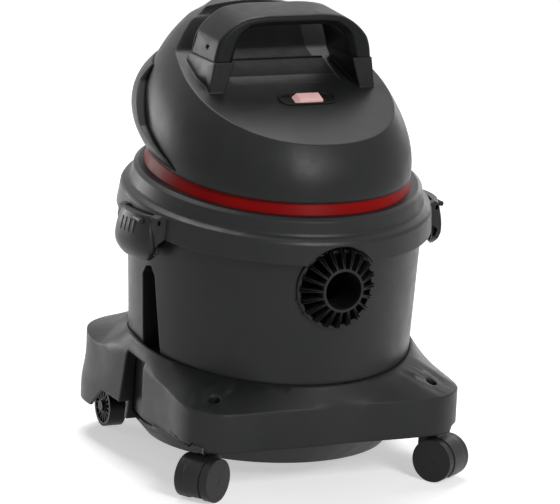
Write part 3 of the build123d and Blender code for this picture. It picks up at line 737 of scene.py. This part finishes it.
def arch_rule(c):
    c = post_place(c)
    high = smooth(c.z, *GRIP_FALL_Z)
    wide = max(0.0, min(1.0, (abs(c.x) - GRIP_LEVEL_HALF) / GRIP_FALL_WIDTH))
    rise = max(0.0, min(1.0, (c.z - GRIP_BULGE_FROM_Z) / GRIP_BULGE_HEIGHT))
    x = abs(c.x) + GRIP_BULGE * math.sin(math.pi * rise) * smooth(abs(c.x), *GRIP_BULGE_X)
    return Vector((math.copysign(x, c.x), c.y, c.z - GRIP_FALL * high * wide**GRIP_FALL_POWER))


def inner_front(a, b):
    width = WINDOW_HALF + (WINDOW_TOP - min(a.z, WINDOW_TOP)) * WINDOW_SPLAY
    beside = max(abs(a.x), abs(b.x)) < width + WINDOW_PLAY
    return max(a.y, b.y) < FRONT_Y and beside and max(a.z, b.z) < WINDOW_TOP + WINDOW_TOP_PLAY


def outer_front(a, b):
    above_seam = min(a.z, b.z) > GRIP_FOOT_Z and max(a.z, b.z) > SEAM_Z
    return max(a.y, b.y) < FRONT_Y and above_seam and not inner_front(a, b)


grip = pressed("handle_grip", "grip_arch", "head")
round_edges(grip, inner_front, offset=0.0050, segments=1)
round_edges(grip, outer_front, offset=0.0034, segments=3)
cut_across(grip, (1.0, 0.0, 0.0), [x / MM for x in range(-56, 60, 8)])
move_points(grip, arch_rule)
close_up(grip, grip_finish)

# ---------------------------------------------------------------- switch
# A translucent red rocker on a steel pin, in a black bezel that is pressed into the deck. The rocker is
# polished, brightened by a faint painted glow (it holds no lamp), and stands to the left of the bezel's
# middle.
bezel_finish = plastic(
    "bezel_black", dark=(0.008, 0.008, 0.0085), light=(0.013, 0.013, 0.0135), rough=0.30, edge=0.0006
)
dress(bezel_finish, "switch_bezel", "switch_body")
rocker_finish = plastic(
    "rocker_red",
    dark=(0.80, 0.42, 0.40),
    light=(0.96, 0.74, 0.72),
    rough=0.14,
    grain=0.02,
    edge=0.0006,
    coat=0.6,
)
# Painted light: a faint emission that brightens the rocker in place of light falling on it; there is no
# lamp inside.
rocker_painted_glow = rocker_finish.node_tree.nodes["Principled BSDF"]
rocker_painted_glow.inputs["Emission Color"].default_value = (1.0, 0.55, 0.52, 1.0)
rocker_painted_glow.inputs["Emission Strength"].default_value = 0.22
DECK_LENGTH = math.hypot(1.0, DECK_SLOPE)
SWITCH_UP = Vector((0.0, -DECK_SLOPE / DECK_LENGTH, 1.0 / DECK_LENGTH))
SWITCH_SEAT = Vector((0.008, -0.039, DECK_FRONT_Z + DECK_SLOPE * (-0.039 - DECK_FRONT_Y)))
ROCKER_ABOVE, ROCKER_LEFT, ROCKER_SINK = 0.0030, 0.0090, 0.0009


def rocker_rule(c):
    if (c - SWITCH_SEAT).dot(SWITCH_UP) > ROCKER_ABOVE:
        return c + Vector((-ROCKER_LEFT, 0.0, 0.0)) - SWITCH_UP * ROCKER_SINK
    return c


rocker_cap = pressed("switch_rocker", "rocker_cap", "rocker")
move_points(rocker_cap, rocker_rule)
close_up(rocker_cap, rocker_finish)

# ---------------------------------------------------------------- floor, light and camera
# A white sweep under large soft lamps: two behind the sides, one above and one in front. A long lens
# looks down a little from the front left. The floor and the air look plain white to the eye and light the
# object only softly.
WHITE = (1.0, 1.0, 1.0, 1.0)


def show_where_seen(tree, usual, shown, output):
    path = tree.nodes.new("ShaderNodeLightPath")
    seen = path.outputs["Is Camera Ray"]
    for ray in ("Is Transmission Ray", "Is Glossy Ray"):
        either = tree.nodes.new("ShaderNodeMath")
        either.operation = "MAXIMUM"
        tree.links.new(seen, either.inputs[0])
        tree.links.new(path.outputs[ray], either.inputs[1])
        seen = either.outputs["Value"]
    choose = tree.nodes.new("ShaderNodeMixShader")
    tree.links.new(seen, choose.inputs["Fac"])
    tree.links.new(usual, choose.inputs[1])
    tree.links.new(shown, choose.inputs[2])
    tree.links.new(choose.outputs["Shader"], tree.nodes[output].inputs["Surface"])


bpy.ops.mesh.primitive_plane_add(size=12.0, location=(0.0, 0.0, 0.0))
floor = bpy.context.object
floor.name = "floor"
floor_finish = bpy.data.materials.new("floor_white")
floor_finish.use_nodes = True
nodes, links = floor_finish.node_tree.nodes, floor_finish.node_tree.links
matte = nodes["Principled BSDF"]
matte.inputs["Base Color"].default_value = (0.80, 0.80, 0.80, 1.0)
matte.inputs["Roughness"].default_value = 0.9
matte.inputs["Specular IOR Level"].default_value = 0.0
glow = nodes.new("ShaderNodeEmission")
glow.inputs["Color"].default_value = WHITE
glow.inputs["Strength"].default_value = 0.50
both = nodes.new("ShaderNodeAddShader")
links.new(matte.outputs["BSDF"], both.inputs[0])
links.new(glow.outputs["Emission"], both.inputs[1])
show_where_seen(floor_finish.node_tree, matte.outputs["BSDF"], both.outputs["Shader"], "Material Output")
floor.data.materials.append(floor_finish)

world = bpy.data.worlds.new("studio")
bpy.context.scene.world = world
world.use_nodes = True
air = world.node_tree.nodes["Background"]
air.inputs["Color"].default_value = WHITE
air.inputs["Strength"].default_value = 0.14
backdrop = world.node_tree.nodes.new("ShaderNodeBackground")
backdrop.inputs["Color"].default_value = WHITE
backdrop.inputs["Strength"].default_value = 1.0
show_where_seen(
    world.node_tree, air.outputs["Background"], backdrop.outputs["Background"], "World Output"
)


def lamp(name, place, aim_height, width, height, watts):
    light = bpy.data.lights.new(name, "AREA")
    light.shape = "RECTANGLE"
    light.size = width
    light.size_y = height
    light.energy = watts
    holder = bpy.data.objects.new(name, light)
    bpy.context.scene.collection.objects.link(holder)
    turn = (Vector((0.0, 0.0, aim_height)) - Vector(place)).to_track_quat("-Z", "Y")
    holder.matrix_world = Matrix.Translation(place) @ turn.to_matrix().to_4x4()


lamp("left_softbox", (-1.65, 2.7, 0.50), aim_height=0.25, width=1.3, height=0.9, watts=24.0)
lamp("right_softbox", (2.3, 1.9, 0.9), aim_height=0.25, width=0.8, height=1.2, watts=8.0)
lamp("top_softbox", (0.2, 1.0, 2.5), aim_height=0.2, width=1.4, height=1.2, watts=54.0)
lamp("front_fill", (0.4, -2.9, 1.9), aim_height=0.3, width=1.0, height=1.2, watts=60.0)

CAMERA_PLACE = (-1.44589, -3.00353, 0.99894)
CAMERA_HEADING, CAMERA_TILT, CAMERA_ROLL = (math.radians(angle) for angle in (-25.81, 76.44, 2.86))
view = bpy.data.cameras.new("studio_camera")
view.sensor_width = 36.0
view.lens = 231.43
view.clip_end = 50.0
camera = bpy.data.objects.new("studio_camera", view)
bpy.context.scene.collection.objects.link(camera)
turn = Matrix.Rotation(CAMERA_HEADING, 4, "Z") @ Matrix.Rotation(CAMERA_TILT, 4, "X")
turn = turn @ Matrix.Rotation(CAMERA_ROLL, 4, "Z")
camera.matrix_world = Matrix.Translation(CAMERA_PLACE) @ turn
bpy.context.scene.camera = camera
bpy.context.scene.view_settings.view_transform = "Standard"
